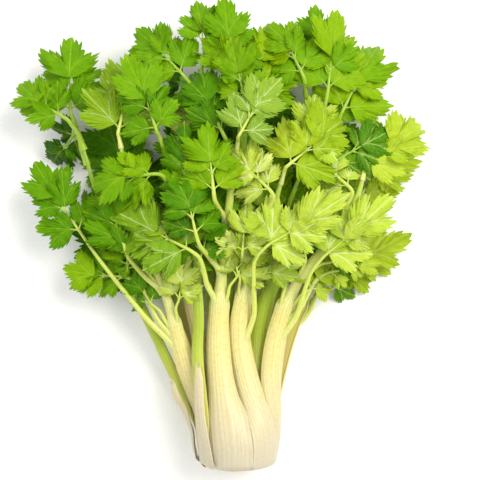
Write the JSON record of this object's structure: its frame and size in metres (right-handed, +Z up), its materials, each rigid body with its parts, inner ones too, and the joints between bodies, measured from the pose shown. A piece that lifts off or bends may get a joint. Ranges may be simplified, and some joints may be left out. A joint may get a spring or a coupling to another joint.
{
  "type": "head of celery",
  "caption": "Leafy head of celery lying on its back, with ribbed pale stalks standing in rings on a trimmed root crown and fanning out into toothed green leaves.",
  "frame": {"origin": "middle of the bounding box's underside, on the surface that the head lies on", "axes": "+Y runs along the head from the cut crown to the leaf tips, +Z is up from the surface through the front of the head, and +X is to the right seen from above with the leaves at the top"},
  "size_m": [0.3944, 0.4464, 0.1014],
  "materials": {
    "crown": "matte",
    "stalk_pale": "satin",
    "stalk_green": "satin",
    "leaf_green": "satin",
    "leaf_light": "satin",
    "leaf_young": "satin"
  },
  "bodies": {
    "root": {"crown": "crown", "stalk_front": "stalk_pale", "stalk_front_right": "stalk_pale", "stalk_right": "stalk_pale", "stalk_left": "stalk_pale", "stalk_far_left": "stalk_green", "stalk_slim": "stalk_green", "stalk_inner_right": "stalk_green", "stalk_inner_left": "stalk_pale", "stalk_inner_front": "stalk_green", "stalk_inner_back_left": "stalk_green", "stalk_inner_back_right": "stalk_green", "stalk_back_right": "stalk_pale", "stalk_back_middle": "stalk_pale", "stalk_back_left": "stalk_pale", "stalk_heart": "stalk_pale", "stub_left": "stalk_pale", "stub_front": "stalk_pale", "leaf_back_middle_1": "leaf_green", "leaf_back_middle_2": "leaf_green", "leaf_back_left_1": "leaf_green", "leaf_back_left_2": "leaf_green", "leaf_back_right_1": "leaf_light", "leaf_back_right_2": "leaf_light", "leaf_inner_back_right_1": "leaf_green", "leaf_inner_back_left_3": "leaf_green", "leaf_inner_back_left_2": "leaf_green", "leaf_far_left_3": "leaf_green", "leaf_far_left_1": "leaf_green", "leaf_left_4": "leaf_green", "leaf_left_3": "leaf_green", "leaf_right_1": "leaf_light", "leaf_right_4": "leaf_light", "leaf_inner_right_1": "leaf_green", "leaf_inner_right_2": "leaf_green", "leaf_inner_right_3": "leaf_light", "leaf_inner_left_1": "leaf_young", "leaf_inner_front_2": "leaf_green", "leaf_inner_front_1": "leaf_green", "leaf_left_1": "leaf_green", "leaf_far_left_2": "leaf_green", "leaf_left_2": "leaf_green", "leaf_inner_back_left_1": "leaf_green", "leaf_inner_back_right_2": "leaf_green", "leaf_inner_front_3": "leaf_green", "leaf_inner_front_4": "leaf_green", "leaf_front_4": "leaf_light", "leaf_right_3": "leaf_young", "leaf_inner_right_4": "leaf_young", "leaf_front_right_1": "leaf_light", "leaf_front_right_2": "leaf_young", "leaf_slim_2": "leaf_green", "leaf_slim_1": "leaf_green", "leaf_slim_3": "leaf_green", "leaf_heart_1": "leaf_young", "leaf_front_2": "leaf_green", "leaf_right_2": "leaf_young", "leaf_front_right_3": "leaf_young", "leaf_front_3": "leaf_green", "leaf_front_1": "leaf_green"}
  },
  "joints": []
}
